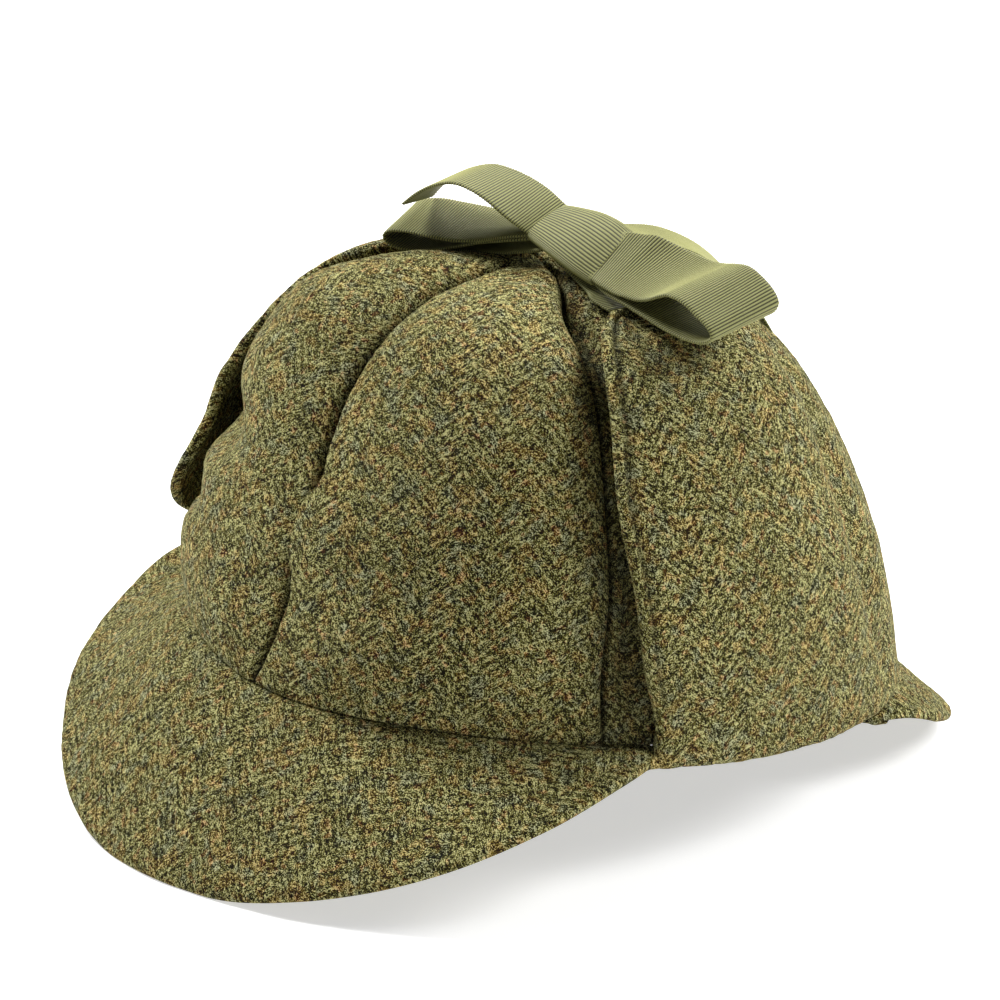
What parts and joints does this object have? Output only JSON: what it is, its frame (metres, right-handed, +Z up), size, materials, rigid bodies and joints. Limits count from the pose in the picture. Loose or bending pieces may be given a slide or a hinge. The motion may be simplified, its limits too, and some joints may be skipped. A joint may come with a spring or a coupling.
{
  "type": "deerstalker hat",
  "caption": "Soft wool tweed hat with a peak at front and back and two ear flaps folded up and tied over the crown with a ribbon bow; stands by itself on its peaks",
  "frame": {"origin": "on the floor, under the middle of the hat's bounding box", "axes": "+Z up, front peak towards -Y, wearer's left towards +X"},
  "size_m": [0.2024, 0.2618, 0.1642],
  "materials": {
    "tweed": "matt brushed wool tweed, herringbone weave in olive green with ochre, brown and grey-blue flecks",
    "ribbon": "sage green grosgrain ribbon, ribbed across its width, with a slight satin sheen"
  },
  "bodies": {
    "root": {"crown_panel_front_left": "tweed", "crown_panel_front_right": "tweed", "crown_panel_side_left": "tweed", "crown_panel_side_right": "tweed", "crown_panel_back_left": "tweed", "crown_panel_back_right": "tweed", "front_peak": "tweed", "back_peak": "tweed", "ear_flap_left": "tweed", "ear_flap_right": "tweed", "ribbon_tie_left": "ribbon", "ribbon_tie_right": "ribbon", "bow_knot": "ribbon", "bow_loop_left": "ribbon", "bow_loop_right": "ribbon", "bow_tail_right": "ribbon", "bow_tail_back": "ribbon"}
  },
  "joints": []
}
